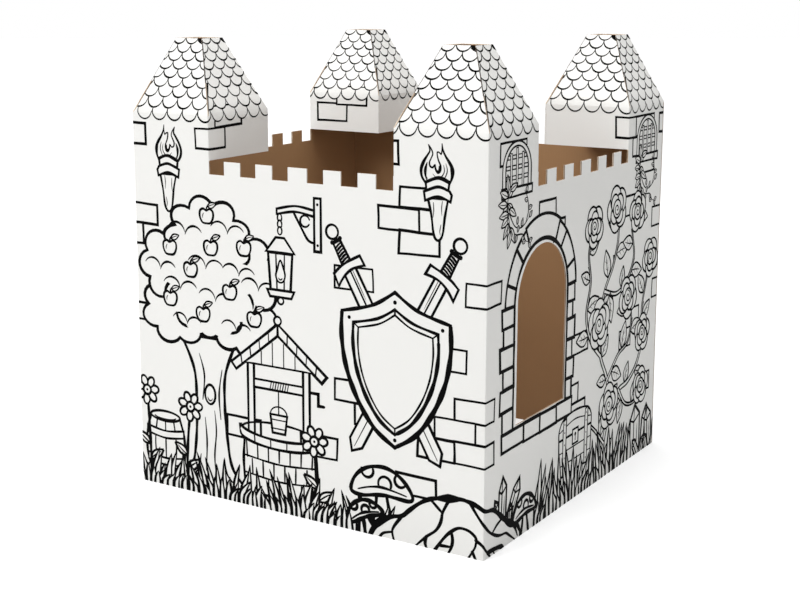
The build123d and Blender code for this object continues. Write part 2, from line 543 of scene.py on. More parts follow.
# Torches, tower windows and arms
def torch(pen):
    """A burning torch; z is the height above the floor."""
    cone = [(-23, 774), (-16, 738), (-12, 706), (-7, 692), (0, 687), (7, 691), (12, 706), (17, 742),
            (25, 774)]
    pen.shape(curve(cone) + [(25, 776), (-23, 776)], 4.2)
    for grain in ([(-10, 772), (-8, 756), (-9, 740)], [(-7, 722), (-4, 706), (-6, 698)],
                  [(12, 768), (11, 748), (13, 734)]):
        pen.stroke(grain, 1.6, ends=(0.4, 0.2))
    torch_flame(pen)

    cup = [(-26, 812), (0, 820), (31, 809), (29, 792), (0, 801), (-24, 795)]
    pen.shape(curve(cup[:3]) + curve(cup[3:]), 4.4)
    pen.stroke(cup[:3], 6.4)
    band = [(-27, 793), (0, 801), (29, 791), (35, 789), (32, 770), (0, 780), (-29, 771), (-32, 785)]
    pen.panel(curve(band[:3]) + [band[3]] + curve(band[4:7]) + [band[7]], 4.6)


def torch_flame(pen):
    """The flame of a torch, with a swell of ink on both sides."""
    left = [(-8, 893), (-10, 880), (-17, 866), (-27, 852), (-34, 838), (-33, 824), (-26, 808)]
    right = [(30, 806), (40, 820), (42, 836), (36, 852), (27, 866), (21, 876), (25, 889)]
    tongues = [(25, 889), (18, 880), (14, 870), (18, 860), (22, 851), (20, 843), (14, 841), (9, 846),
               (7, 838), (2, 830), (-4, 834), (-5, 845), (0, 856), (3, 866), (3, 874), (-2, 873),
               (-6, 870), (-8, 878), (-8, 893)]
    pen.paper(curve(left) + curve(right) + curve(tongues))
    swell = [(-27, 852), (-35, 838), (-34, 824), (-26, 808), (-29, 824), (-28, 838)]
    for way in (1, -1):
        pen.solid(curve([(x * way, z) for x, z in swell], closed=True))
    pen.stroke(left, 5.4, ends=(0.15, 0.7))
    pen.stroke(right, 5.4, ends=(0.7, 0.15))
    pen.stroke(tongues, 3.2, ends=(0.5, 0.4), step=2.5)
    pen.stroke([(-2, 846), (-2, 836), (2, 832), (7, 838), (8, 848)], 4.6, ends=(0.3, 0.3), step=2.5)
    pen.stroke([(-17, 852), (-21, 838), (-18, 826), (-13, 818)], 2.0, ends=(0.2, 0.3))
    pen.stroke([(-12, 848), (-14, 834), (-6, 822), (6, 821), (14, 828)], 2.0, ends=(0.2, 0.2))
    pen.stroke([(28, 848), (33, 836), (31, 824), (26, 816)], 2.0, ends=(0.2, 0.3))


def leaf(pen, x, y, turn, length, width, line, veins=0):
    """A pointed leaf that grows from x, y."""
    own = pen.moved(x, y, turn=turn)
    side = [(0, 0), (length * 0.28, width * 0.46), (length * 0.62, width * 0.42), (length, 0)]
    back = [(along, -across) for along, across in reversed(side)]
    step = max(2.0, length / 9)
    own.shape(curve(side, step=step) + curve(back, step=step), line)
    rib = [(0, 0), (length * 0.4, width * 0.05), (length * 0.8, 0)]
    own.stroke(rib, line * 0.7, ends=(0.8, 0.2), step=step)
    for k in range(veins):
        start = length * (0.25 + 0.5 * k / veins)
        for way in (1, -1):
            tip = (start + length * 0.16, way * width * 0.27)
            own.line([(start, 0), tip], line * 0.5, ends=(0.8, 0.2))


def tower_window(pen):
    """A small lattice window with a sill and a climbing plant; z is the height above the floor."""
    brick(pen, -76, 44, 845, 893)
    for half, centre, rise, width in ((66, 832, 61, 3.4), (52, 834, 49, 3.2)):
        arch = [(-half, 795)] + arc(0, centre, half, 180, 0, height=rise) + [(half, 795)]
        pen.shape(straight(arch, step=12), width)
    for x, top in ((-27, 868), (0, 879), (27, 868)):
        pen.panel([(x - 4, 796), (x - 4, top), (x + 4, top), (x + 4, 796)], 2.2)
    for z, half in ((860, 42), (838, 50), (816, 50)):
        for start, end in ((-half, -32), (-22, -5), (5, 22), (32, half)):
            pen.panel([(start, z - 4), (end, z - 4), (end, z + 4), (start, z + 4)], 2.0)
    brick(pen, -69, 73, 776, 795, 3.6)
    window_plant(pen)


def window_plant(pen):
    """The plant that hangs from the left end of a tower window's sill."""
    for stem in ([(-34, 790), (-42, 762), (-36, 735), (-26, 700)],
                 [(-34, 742), (-8, 712), (20, 704), (44, 712), (62, 724)],
                 [(-28, 704), (0, 692), (32, 688), (46, 672), (62, 668)],
                 [(44, 712), (56, 736), (52, 764), (36, 784)]):
        pen.stroke(stem, 2.6, ends=(0.8, 0.3))
    for x, z, turn in ((-36, 784, 100), (-38, 778, 160), (-38, 776, 50), (-42, 762, 175), (-40, 757, 215),
                       (-36, 742, 185), (-40, 764, 320), (-38, 733, 210), (-34, 722, 232), (-31, 716, 262),
                       (-34, 752, 330), (-28, 712, 300), (-26, 704, 250), (-30, 790, 20)):
        leaf(pen, x, z, turn, pen.random.uniform(32, 44), pen.random.uniform(15, 19), 2.6)
    for x, z, turn in ((4, 713, 80), (24, 705, 70), (56, 742, 10), (53, 760, 165), (44, 778, 60),
                       (60, 722, 40), (4, 692, 250), (34, 687, 260), (12, 711, 250), (60, 668, 300),
                       (62, 668, 20), (44, 674, 200)):
        leaf(pen, x, z, turn, pen.random.uniform(16, 21), 10, 2.0)


def sword(pen):
    """A sword along -y of the pen, its pommel at the origin."""
    pen.panel([(-17, -86), (-19, -541), (0, -563), (19, -539), (17, -86)], 5.0)
    pen.line(straight([(1, -90), (0, -550)]), 3.2, ends=(1.0, 0.4))
    pen.line(straight([(7, -96), (6, -170)]), 1.8, ends=(0.6, 0.2))
    pen.panel([(-10, -24), (-13, -88), (13, -88), (10, -24)], 4.4)
    for k in range(8):
        level = -31 - 7 * k
        pen.stroke([(-10, level - 5), (0, level - 1), (10, level + 1)], 4.1)
    guard = [(-42, -83), (-20, -77), (0, -75), (20, -75), (40, -76), (41, -100), (20, -95), (3, -94),
             (-15, -98), (-31, -105), (-44, -113)]
    pen.panel(curve(guard[:5]) + curve(guard[5:]), 4.6)
    for x in (-12, 12):
        pen.dot(x, -21, 5.2)
    pen.solid([(-12, -18), (-12, -25), (12, -25), (12, -18)])
    pen.ring(0, 0, 16, 4.3)


def shield_outline(half, corner, apex, tip):
    """A pointed shield: its half width, and the heights of its upper corners, its apex and its tip."""
    drop = corner - tip
    top = curve([(0, apex), (half * 0.42, corner + (apex - corner) * 0.38), (half, corner)])
    side = curve([(half, corner), (half * 1.01, corner - drop * 0.2), (half * 0.92, corner - drop * 0.44),
                  (half * 0.7, corner - drop * 0.68), (half * 0.38, corner - drop * 0.88), (0, tip)])
    right = top[:-1] + side
    return right + [(-x, z) for x, z in reversed(right[1:-1])]


def shield(pen):
    """A shield with a wide border; the pen's origin is in its middle axis, on the floor."""
    for size, width, bold in (((138, 507, 563, 214), 6.2, 9.4), ((108, 484, 525, 243), 5.0, 7.6)):
        outline = shield_outline(*size)
        pen.shape(outline, width)
        for way in (-1, 1):
            flank = [p for p in outline if p[0] * way > 6 and p[1] < outline[0][1] - 58]
            flank.sort(key=lambda p: -p[1])
            pen.line(flank, bold)
    pen.shape(shield_outline(95, 474, 513, 257), 3.4)
    for side in (-1, 1):
        pen.line([(side * 108, 484), (side * 95, 474)], 3.2)
        pen.dot(side * 119, 494, 4.4)
    pen.line([(0, 527), (0, 512)], 4.0)
    pen.line([(0, 257), (0, 243)], 4.0)
    pen.dot(0, 541, 4.8)
    pen.dot(0, 231, 4.6)


# Plants and stones along the floor
# They start a little below the floor, where the sheet's edge cuts them off
TUFT_WIDTH = 37.0
BLADE_LEAN = 18.0


def grass(pen, start, end, spacing, low, high, width=4.0, half=8.0):
    """Pointed blades that lean together in tufts; short ones stand in front."""
    blades = []
    x = start
    while x < end:
        tuft = math.sin(x / TUFT_WIDTH)
        height = pen.random.uniform(low, high)
        blades.append((x, height, BLADE_LEAN * (tuft + pen.random.uniform(-0.6, 0.6))))
        x += spacing * pen.random.uniform(0.6, 1.4)
    blades.sort(key=lambda blade: -blade[1])
    for x, height, bent in blades:
        reach = half * pen.random.uniform(0.8, 1.2)
        belly = pen.random.uniform(-2, 2) + bent * 0.1
        left = [(x - reach, -6), (x - reach * 0.85 + belly, height * 0.5), (x + bent, height)]
        right = [(x + bent, height), (x + reach * 0.85 + belly, height * 0.42), (x + reach, -6)]
        left, right = curve(left, step=9), curve(right, step=9)
        pen.paper(left + right)
        pen.line(left, width * 1.3, ends=(1.4, 0.15))
        pen.line(right, width, ends=(0.15, 1.4))


def mushroom(pen, width=7.0):
    """A spotted mushroom, 164 wide; the origin is on the floor below its cap's left end."""
    left = [(66, 112), (68, 84), (60, 40), (60, -6)]
    right = [(118, -6), (106, 48), (98, 84), (92, 116)]
    pen.shape(curve(left) + curve(right), width)
    cap = [(0, 100), (6, 121), (20, 140), (42, 155), (66, 162), (92, 163), (118, 155), (140, 140), (157, 120),
           (163, 104), (152, 97), (120, 98), (92, 99), (62, 95), (32, 89), (8, 91)]
    pen.shape(curve(cap, closed=True), width)
    pen.stroke([(18, 101), (48, 111), (80, 116), (112, 113), (148, 107)], width * 0.7, ends=(0.3, 0.3))
    for spot in ((44, 149, 16, 168, 380), (90, 125, 17, -22, 204), (131, 140, 15, 118, 322)):
        pen.line(arc(*spot), width * 0.75)


def rocks(pen):
    """A heap of boulders that runs round the castle's corner; the pen lies at the sheet's origin."""
    outline = [(188, -8), (204, 22), (226, 42), (251, 54), (276, 61), (294, 77), (318, 97), (341, 111),
               (361, 118), (393, 124), (424, 128), (443, 126), (462, 121), (490, 109), (520, 103), (542, 89),
               (563, 73), (588, 54), (614, 42), (636, 32), (650, 14), (652, -8)]
    pen.shape(curve(outline) + [(652, -9), (188, -9)], 7.4)
    for first, last, width in ((0, 4, 14.0), (3, 7, 9.0), (8, 11, 14.0), (10, 14, 9.0), (14, 18, 11.0),
                               (16, 21, 14.0)):
        pen.stroke(outline[first:last], width, ends=(0.3, 0.3))
    for crack in (
        [(274, 58), (256, 34), (250, 18), (256, -6)],
        [(214, -6), (226, 10), (250, 18)],
        [(352, 110), (366, 98), (378, 88)],
        [(394, 120), (379, 90), (376, 74), (371, 59), (360, 43), (341, 28), (326, 14), (306, -6)],
        [(338, 26), (335, 10), (341, -6)],
        [(356, -6), (381, 30), (400, 50), (419, 62), (439, 62), (453, 56), (462, 46), (460, 29), (453, 15),
         (440, -6)],
        [(401, 49), (404, 30), (400, 12), (390, -6)],
        [(372, 13), (403, 15)],
        [(446, 124), (461, 103), (475, 86), (492, 69), (510, 54), (538, 39), (559, 33), (582, 30), (601, 18),
         (630, -2)],
        [(461, 43), (477, 34), (491, 19), (516, -6)],
        [(453, 15), (464, -6)],
        [(518, 50), (538, 62), (563, 70)],
        [(610, 42), (627, 27), (640, 4)],
    ):
        pen.stroke(crack, 5.6, ends=(1.0, 0.5))
    pen.stroke([(498, 13), (530, 11), (561, 6), (572, -6)], 9.0)
    pen.line([(522, 10), (534, -6)], 5.0)


def crystal(pen, x, z, height, width, turn):
    """One pointed crystal with its facets."""
    own = pen.moved(x, z, turn=turn)
    half = width / 2
    edge, ridge, ridge_x = height * 0.74, height * 0.68, -half * 0.2
    shoulder, tip = (half, edge * 1.08), (-half * 0.1, height)
    own.panel([(-half, 0), (-half, edge), tip, shoulder, (half, 0)], 5.8)
    own.line(straight([(ridge_x, 0), (ridge_x, ridge)]), 4.4)
    own.line([(-half, edge), (ridge_x, ridge), shoulder], 4.0)
    own.line([(ridge_x, ridge), tip], 3.2)
    own.line(straight([(half * 0.45, height * 0.12), (half * 0.45, height * 0.62)]), 3.4, ends=(0.2, 0.2))


# Pictures on the walls
# How deep the lobes of a cloud are and how many points each has; then how many points of a branch
# lie between two thorns and between two leaves
LOBE_DEPTH = 0.14
LOBE_POINTS = 9
THORN_STEP, LEAF_STEP = 11, 10


def lobes(x, z, wide, high, count, turn):
    """A cloud-like outline made of round lobes."""
    points = []
    for k in range(count):
        for j in range(LOBE_POINTS):
            t = j / LOBE_POINTS
            angle = math.radians(turn) + 2 * math.pi * (k + t) / count
            swell = 1 - LOBE_DEPTH + LOBE_DEPTH * 1.6 * math.sin(math.pi * t) ** 0.8
            points.append((x + wide * swell * math.cos(angle), z + high * swell * math.sin(angle)))
    return points


def apple(pen, x, z):
    """An apple with a stalk and a leaf."""
    outline = [(0, 13), (9, 17), (18, 12), (19, -1), (12, -14), (0, -16), (-12, -14), (-19, -1), (-18, 12),
               (-9, 17)]
    own = pen.moved(x, z)
    own.shape(curve(outline, closed=True), 5.4)
    own.stroke([(0, 12), (1, 20), (6, 27)], 4.4)
    leaf(own, 4, 22, 20, 26, 13, 3.6)
    own.line(arc(0, -1, 11, 130, 200), 2.6, ends=(0.3, 0.3))


def apple_tree(pen):
    """A tall tree full of apples; the origin is at the foot of its trunk."""
    left = [(-96, -6), (-58, 26), (-44, 90), (-40, 180), (-46, 262), (-84, 340)]
    right = [(78, 340), (46, 262), (42, 190), (48, 110), (62, 40), (104, -6)]
    pen.shape(curve(left) + curve(right), 8.0)
    for bark in ([(-16, 20), (-12, 90), (-16, 150)], [(14, 4), (10, 60), (16, 120), (12, 170)],
                 [(-22, 190), (-16, 250), (-30, 300)], [(30, 150), (26, 210), (36, 270)],
                 [(-66, -2), (-40, 20), (-30, 60)], [(70, 0), (46, 22), (38, 62)]):
        pen.stroke(bark, 5.0, ends=(0.3, 0.2))
    pen.ring(0, 206, 15, 6.0, height=23)
    pen.line(arc(0, 204, 8, 200, 330, height=13), 3.6, ends=(0.3, 0.3))
    tree_crown(pen)


def tree_crown(pen):
    """The crown of the tree: six clouds of leaves, the shade between them, and apples."""
    for cloud in ((-96, 392, 96, 74, 7, 20), (98, 384, 92, 70, 7, 50), (-104, 500, 92, 84, 7, 5),
                  (106, 496, 94, 86, 7, 35), (0, 448, 118, 100, 9, 10), (0, 566, 116, 92, 9, 0)):
        pen.shape(lobes(*cloud), 7.6)
    pen.paper(lobes(0, 470, 130, 120, 9, 30))
    for x, z, radius in ((-64, 574, 26), (58, 586, 25), (-140, 486, 24), (142, 466, 25), (-6, 500, 27),
                         (88, 494, 24), (-82, 444, 26), (20, 428, 25), (-64, 366, 22), (78, 366, 22)):
        pen.line(arc(x - radius, z, radius, 10, 150), 5.4, ends=(0.25, 0.25))
        pen.line(arc(x + radius, z - 6, radius, 30, 170), 5.4, ends=(0.25, 0.25))
    for x, z in ((-110, 538), (0, 620), (104, 556), (-50, 492), (62, 452), (-112, 418), (130, 398), (10, 548),
                 (-16, 392)):
        apple(pen, x, z)


def stone_well(pen):
    """A well with a little roof; the origin is in the middle of its foot."""
    for side in (-1, 1):
        pen.panel([(side * 88, 138), (side * 88, 312), (side * 70, 312), (side * 70, 138)], 6.4)
    well_winch(pen)
    well_wall(pen)
    well_roof(pen)


def well_winch(pen):
    """The far side of the rim, the bucket on its rope, and the roller with its crank."""
    pen.line(arc(0, 150, 108, 180, 0, height=24), 5.6)
    pen.line([(0, 262), (0, 196)], 4.6)
    pen.panel([(-24, 196), (24, 196), (18, 152), (-18, 152)], 5.4)
    for level in (184, 163):
        pen.line([(-22, level), (22, level)], 3.6)
    pen.line(arc(0, 196, 24, 0, 180, height=20), 4.0)
    pen.panel([(-70, 254), (70, 254), (70, 274), (-70, 274)], 5.4)
    for k in range(8):
        pen.line([(-24 + k * 7, 255), (-20 + k * 7, 273)], 3.4)
    pen.line(straight([(88, 264), (112, 264), (112, 236), (128, 236)]), 7.4)


def well_wall(pen):
    """The round wall of the well, in three courses below its rim."""
    left = [(-100, 128), (-104, 70), (-98, 4), (-90, -6)]
    right = [(-x, z) for x, z in reversed(left)]
    pen.shape(curve(left) + curve(right), 7.4)
    for row in range(3):
        low, high = row * 42 + 2, row * 42 + 42
        pen.stroke([(-100, high), (0, high - 8), (100, high)], 4.8)
        for k in range(-3, 4):
            x = (k + 0.5 * (row % 2)) * 31
            if abs(x) < 96:
                pen.stroke([(x, low - 5), (x * 1.02, high - 7)], 4.6)
    pen.shape(arc(0, 138, 112, 180, 360, height=26) + arc(0, 160, 112, 0, -180, height=26), 6.6)
    for x in (-70, -24, 22, 68):
        pen.line([(x, 113 + abs(x) * 0.05), (x * 1.02, 134 + abs(x) * 0.06)], 4.4)


def well_roof(pen):
    """The two slopes of the well's roof and its gable."""
    for side in (-1, 1):
        pen.panel([(0, 412), (side * 136, 306), (side * 122, 290), (0, 384)], 6.8)
        for k in range(1, 5):
            x = side * k * 27
            pen.line([(x, 412 - k * 21), (x * 0.97, 386 - k * 20)], 4.0)
    pen.panel([(-96, 310), (0, 384), (96, 310)], 5.0)
    for x in (-48, -16, 16, 48):
        pen.line([(x, 312), (x, 378 - abs(x) * 0.76)], 3.8)
    pen.ring(0, 420, 10, 5.0)


def barrel(pen):
    """A hooped barrel; the origin is in the middle of its foot."""
    left = [(-40, -4), (-52, 34), (-54, 66), (-50, 98), (-40, 128)]
    right = [(-x, z) for x, z in reversed(left)]
    pen.shape(curve(left) + curve(right), 7.0)
    for x in (-22, 0, 22):
        pen.stroke([(x, -2), (x * 1.35, 64), (x, 126)], 4.2)
    half = 51
    for level in (92, 30):
        upper = [(-half, level + 9), (0, level + 2), (half, level + 9)]
        lower = [(half, level - 7), (0, level - 14), (-half, level - 7)]
        pen.shape(curve(upper) + curve(lower), 5.2)
    pen.ring(0, 128, 41, 6.0, height=11)
    pen.line(arc(0, 127, 30, 190, 350, height=6), 3.4)


def daisy(pen, x, height, lean):
    """A flower with broad petals on a leafy stem."""
    top = (x + lean, height)
    pen.stroke([(x, -6), (x + lean * 0.2, height * 0.5), top], 6.4)
    leaf(pen, x + lean * 0.1, height * 0.26, 35, 50, 22, 4.6)
    leaf(pen, x + lean * 0.2, height * 0.42, 145, 48, 21, 4.6)
    petals = 7
    for k in range(petals):
        own = pen.moved(*top, turn=k * 360 / petals + 8)
        own.ring(23, 0, 14, 4.4, height=10)
    pen.ring(*top, 12, 4.8)
    pen.dot(*top, 3.2)


def lantern(pen):
    """A lantern on a wall bracket; the origin is where the bracket meets the wall."""
    pen.panel([(-9, -58), (-9, 62), (9, 62), (9, -58)], 6.4)
    for z in (-44, 48):
        pen.dot(0, z, 3.4)
    pen.shape(curve([(-9, 34), (-60, 40), (-112, 30)]) + curve([(-112, 18), (-60, 27), (-9, 20)]), 5.6)
    pen.stroke([(-9, -40), (-26, -34), (-44, -8), (-64, 24)], 6.2)
    pen.line(arc(-34, 8, 13, 20, 330), 4.8)
    for k in range(3):
        pen.ring(-104, 10 - k * 15, 6, 3.8, height=9)
    own = pen.moved(-104, -36)
    own.panel([(-12, 0), (12, 0), (40, -34), (-40, -34)], 6.0)
    own.panel([(-34, -36), (34, -36), (28, -122), (-28, -122)], 6.4)
    for way in (-1, 1):
        own.line(straight([(way * 12, -38), (way * 10, -120)]), 4.2)
    flame = [(0, -52), (9, -70), (13, -88), (6, -102), (-6, -102), (-13, -88), (-8, -72)]
    own.shape(curve(flame, closed=True), 4.4)
    own.line(arc(0, -92, 5, 200, 340), 3.0)
    own.panel([(-38, -122), (38, -122), (30, -138), (-30, -138)], 6.0)
    own.ring(0, -146, 8, 4.6)


def chest(pen):
    """A closed chest with iron bands; the origin is at its left foot."""
    pen.panel([(4, 0), (180, 0), (184, 92), (0, 92)], 4.6)
    pen.shape(curve([(0, 92), (2, 118), (26, 140), (90, 148), (156, 140), (182, 118), (184, 92)]), 4.6)
    for z in (28, 60):
        pen.line(straight([(3, z), (181, z)]), 2.6)
    pen.stroke([(4, 112), (90, 126), (180, 112)], 2.8)
    for x in (24, 146):
        left, right = [(x, -1), (x - 1, 92), (x + 2, 136)], [(x + 17, 139), (x + 16, 92), (x + 14, -1)]
        pen.shape(curve(left) + curve(right), 3.6)
        for z in (12, 44, 76, 106, 126):
            pen.dot(x + 8, z, 2.2)
    pen.panel([(76, 66), (108, 66), (108, 102), (76, 102)], 3.8)
    pen.dot(92, 88, 5)
    pen.line([(92, 88), (92, 74)], 4.4)


def rose(pen, x, z, size, turn):
    """A full rose seen from the front."""
    own = pen.moved(x, z, size, turn)
    for radius, count, start in ((38, 5, 0), (27, 4, 40)):
        for k in range(count):
            angle = math.radians(start + k * 360 / count)
            middle = (radius * 0.55 * math.cos(angle), radius * 0.55 * math.sin(angle))
            own.ring(*middle, radius * 0.62, 4.2)
    own.ring(0, 0, 17, 4.0)
    spiral = []
    for degrees in range(60, 560, 35):
        angle = math.radians(degrees)
        spiral.append((degrees / 42 * math.cos(angle), degrees / 42 * math.sin(angle)))
    own.stroke(spiral, 3.2, ends=(0.6, 0.6), step=3)


def vine_branch(pen, points, width):
    """A branch that tapers from its start, with thorns and leaves on both sides."""
    middle = curve(points, step=7)
    last = len(middle) - 1
    left, right = [], []
    for i, point in enumerate(middle):
        after, before = middle[min(i + 1, last)], middle[max(i - 1, 0)]
        along = (Vector(after) - Vector(before)).normalized()
        half = width * (1 - 0.55 * i / len(middle))
        left.append((point[0] - along.y * half, point[1] + along.x * half))
        right.append((point[0] + along.y * half, point[1] - along.x * half))
    pen.paper(left + right[::-1])
    pen.line(left, 4.0)
    pen.line(right, 4.0)
    for i in range(6, last - 2, THORN_STEP):
        side = left if i % 2 else right
        tip = (side[i][0] + (side[i][0] - middle[i][0]) * 1.5, side[i][1] + 7)
        pen.line([side[i - 1], tip, side[i + 1]], 3.4)
    for i in range(5, last - 1, LEAF_STEP):
        after = middle[i + 1]
        heading = math.degrees(math.atan2(after[1] - middle[i][1], after[0] - middle[i][0]))
        way = 1 if (i // LEAF_STEP) % 2 else -1
        size = pen.random.uniform(0.85, 1.2)
        leaf(pen, *(left if way > 0 else right)[i], heading + way * 60, 64 * size, 36 * size, 3.8, veins=2)


def rose_vine(pen):
    """A rose that climbs the wall from the floor, with its own long branches."""
    branches = [
        ([(150, 20), (138, 90), (166, 170), (150, 250), (106, 320), (92, 400), (120, 480), (170, 540),
          (196, 610), (180, 680)], 7.0),
        ([(166, 170), (226, 206), (284, 216), (342, 252), (376, 320), (366, 392), (388, 456),
          (420, 520)], 6.0),
        ([(106, 320), (44, 372), (14, 440), (34, 516), (20, 590), (46, 660)], 5.6),
        ([(120, 480), (196, 462), (262, 486), (300, 540), (286, 610), (318, 660)], 5.2),
        ([(150, 250), (216, 300), (276, 322), (296, 384), (268, 436)], 5.0),
        ([(138, 90), (76, 142), (30, 164), (-22, 156)], 5.0),
        ([(226, 206), (270, 160), (330, 150), (372, 176)], 5.0),
    ]
    for points, width in branches:
        vine_branch(pen, points, width)
    for x, z, size in ((182, 676, 1.35), (48, 650, 1.2), (316, 652, 1.2), (412, 520, 1.2),
                       (270, 440, 1.3), (-22, 162, 1.15), (372, 184, 1.15), (92, 404, 1.45),
                       (372, 326, 1.15), (166, 180, 1.35)):
        rose(pen, x, z, size, turn=x)


# Layout of the two sheets
def tower_prints(drawing):
    """The torches of the first wall's towers and the small windows of the second wall's."""
    torch(Pen(drawing, "torches", s=-376))
    torch(Pen(drawing, "torches", s=362, mirror=True))
    for s in (607, 1331):
        tower_window(Pen(drawing, "tower_windows", s=s))


def front_right_drawing():
    """The front wall and the wall with the window, with the towers that stand on them."""
    drawing = Drawing(seed=4)
    bricks(Pen(drawing, "bricks"), (
        (-490, -441, 845, 893), (-490, -412, 652, 700), (-490, -458, 603, 652), (-433, -333, 457, 503),
        (-490, -409, 412, 455), (-212, -112, 165, 213), (-160, -62, 117, 165), (3, 103, 157, 208),
        (-226, -126, 891, 940), (-289, -189, 841, 890), (163, 263, 841, 892), (268, 368, 750, 796),
        (215, 316, 700, 749), (316, 362, 700, 749), (266, 365, 652, 700), (430, 544, 553, 603),
        (100, 200, 556, 606), (333, 433, 407, 457), (98, 198, 300, 350), (150, 250, 252, 300),
        (407, 520, 302, 350), (358, 458, 254, 301), (315, 407, 206, 253), (407, 520, 206, 255),
        (262, 362, 112, 158), (716, 801, 690, 747), (792, 850, 650, 698), (905, 998, 358, 405),
        (890, 946, 238, 285), (880, 990, 190, 238), (1176, 1276, 843, 895), (1238, 1338, 795, 843),
        (1290, 1382, 747, 800), (1188, 1288, 650, 698), (1408, 1450, 842, 892), (1382, 1450, 600, 650),
        (1400, 1450, 408, 457), (1230, 1313, 358, 405), (1190, 1263, 310, 358), (1305, 1400, 165, 212),
    ))
    window_surround(Pen(drawing, "bricks", s=WINDOW_CENTRE - 4))
    tower_prints(drawing)
    sword(Pen(drawing, "shield_and_swords", s=93, z=681, turn=29.6))
    sword(Pen(drawing, "shield_and_swords", s=416, z=680, turn=-29.0, mirror=True))
    shield(Pen(drawing, "shield_and_swords", s=256))

    front_wall = Pen(drawing, "pictures", weight=1.05)
    apple_tree(front_wall.moved(-262, 40, 1.04))
    stone_well(front_wall.moved(-60, 40))
    lantern(front_wall.moved(54, 690))
    barrel(front_wall.moved(-404, 34, 1.12))
    window_wall = Pen(drawing, "pictures", weight=1.25)
    rose_vine(window_wall.moved(970))
    chest(window_wall.moved(846, 72))
    front_right_plants(drawing)
    roofs(drawing, "front_right")
    return drawing


def front_right_plants(drawing):
    """Flowers, grass, crystals, mushrooms and boulders along the floor, from the back to the front."""
    plants = Pen(drawing, "plants")
    for x, height, lean in ((-452, 236, -8), (-338, 214, 14), (52, 190, -12)):
        daisy(plants, x, height, lean)
    grass(plants, -480, 190, 15, 52, 108)
    grass(plants, 730, 1300, 16, 70, 152, width=5.2, half=11)
    for x, z, height, width, turn in (
        (1312, -6, 144, 62, 0), (1372, -6, 128, 50, -8), (1408, -6, 120, 44, 6), (1444, -6, 96, 34, -6),
        (1336, -6, 62, 26, 36), (1350, -6, 56, 24, -30), (1396, -6, 50, 24, 24), (1424, -6, 44, 22, -24),
        (552, 62, 62, 20, 22), (562, 46, 118, 34, -2), (584, 40, 118, 32, -32), (596, 40, 52, 20, -8),
        (608, 30, 40, 18, -50),
    ):
        crystal(plants, x, z, height, width, turn)
    mushroom(plants.moved(140))
    grass(plants, 222, 290, 12, 66, 84, width=3.4, half=6)
    mushroom(plants.moved(153, -35, scale=0.61, turn=20), width=7.6)
    rocks(plants)
    mushroom(plants.moved(616, -24, scale=0.70), width=7.4)
    grass(plants, -480, 140, 14, 26, 60)
    grass(plants, 734, 1290, 17, 34, 86, width=5.2, half=11)


def back_left_drawing():
    """The back wall and the left wall, which the photograph doesn't show: plain masonry and plants."""
    drawing = Drawing(seed=9)
    masonry = Pen(drawing, "bricks")
    for s, z in ((-430, 640), (-260, 420), (-120, 660), (60, 300), (210, 560), (360, 150), (-380, 200),
                 (560, 600), (700, 330), (860, 620), (1010, 200), (1140, 480), (1290, 640), (640, 110),
                 (1330, 250)):
        for column, row in ((0, 0), (1, 0), (0.5, 1), (-0.5, -1), (0.5, -1)):
            if drawing.random.random() < 0.8:
                left, low = s + column * BRICK_LENGTH, z + row * BRICK_HEIGHT
                brick(masonry, left, left + BRICK_LENGTH, low, low + BRICK_HEIGHT)
    bricks(masonry, ((-490, -441, 845, 893), (-289, -189, 841, 890), (736, 834, 843, 893),
                     (801, 899, 891, 940), (1176, 1276, 843, 895), (1408, 1450, 842, 892)))
    tower_prints(drawing)
    plants = Pen(drawing, "plants")
    for x, height, lean in ((-300, 200, 10), (90, 226, -14), (760, 214, 12), (1160, 190, -10)):
        daisy(plants, x, height, lean)
    grass(plants, -480, 1440, 16, 52, 112)
    mushroom(plants.moved(-200, -10))
    mushroom(plants.moved(960, -20, scale=0.8))
    rocks(plants)
    grass(plants, -480, 176, 16, 26, 60)
    grass(plants, 660, 1440, 16, 26, 60)
    roofs(drawing, "back_left")
    return drawing


# Print pieces
# How far the print lies in front of the board, the flattest triangle that is kept, and where the
# round of a fold is cut, in shares of its radius
INK_LIFT = 0.3
THINNEST = 0.02
FOLD_CUTS = (-1, -0.5, 0, 0.5, 1)
TRIANGLES_INSIDE = 1
WELD = 1e-6


def add_object(name, data):
    """A new object in the scene."""
    holder = bpy.data.objects.new(name, data)
    bpy.context.scene.collection.objects.link(holder)
    return holder


def turns_left(a, b, c):
    """Whether the way from a to b and on to c turns left."""
    return (b[0] - a[0]) * (c[1] - a[1]) - (b[1] - a[1]) * (c[0] - a[0]) > 0


def crosses_itself(outline):
    """Whether two sides of an outline cross."""
    count = len(outline)
    for i in range(count - 2):
        a, b = outline[i], outline[i + 1]
        for j in range(i + 2, count if i else count - 1):
            c, d = outline[j], outline[(j + 1) % count]
            if turns_left(a, b, c) != turns_left(a, b, d) and turns_left(c, d, a) != turns_left(c, d, b):
                return True
    return False


def split_outline(outline):
    """An outline as a list of places in it, or in anticlockwise triangles where it crosses itself."""
    if not crosses_itself(outline):
        return [range(len(outline))]
    triangles = tessellate_polygon([[Vector((s, z, 0)) for s, z in outline]])
    result = []
    for a, b, c in triangles:
        (sa, za), (sb, zb), (sc, zc) = outline[a], outline[b], outline[c]
        area = (sb - sa) * (zc - za) - (zb - za) * (sc - sa)
        longest = max(math.dist(outline[i], outline[j]) for i, j in ((a, b), (b, c), (c, a)))
        if abs(area) > THINNEST * longest:
            result.append((a, b, c) if area > 0 else (a, c, b))
    return result


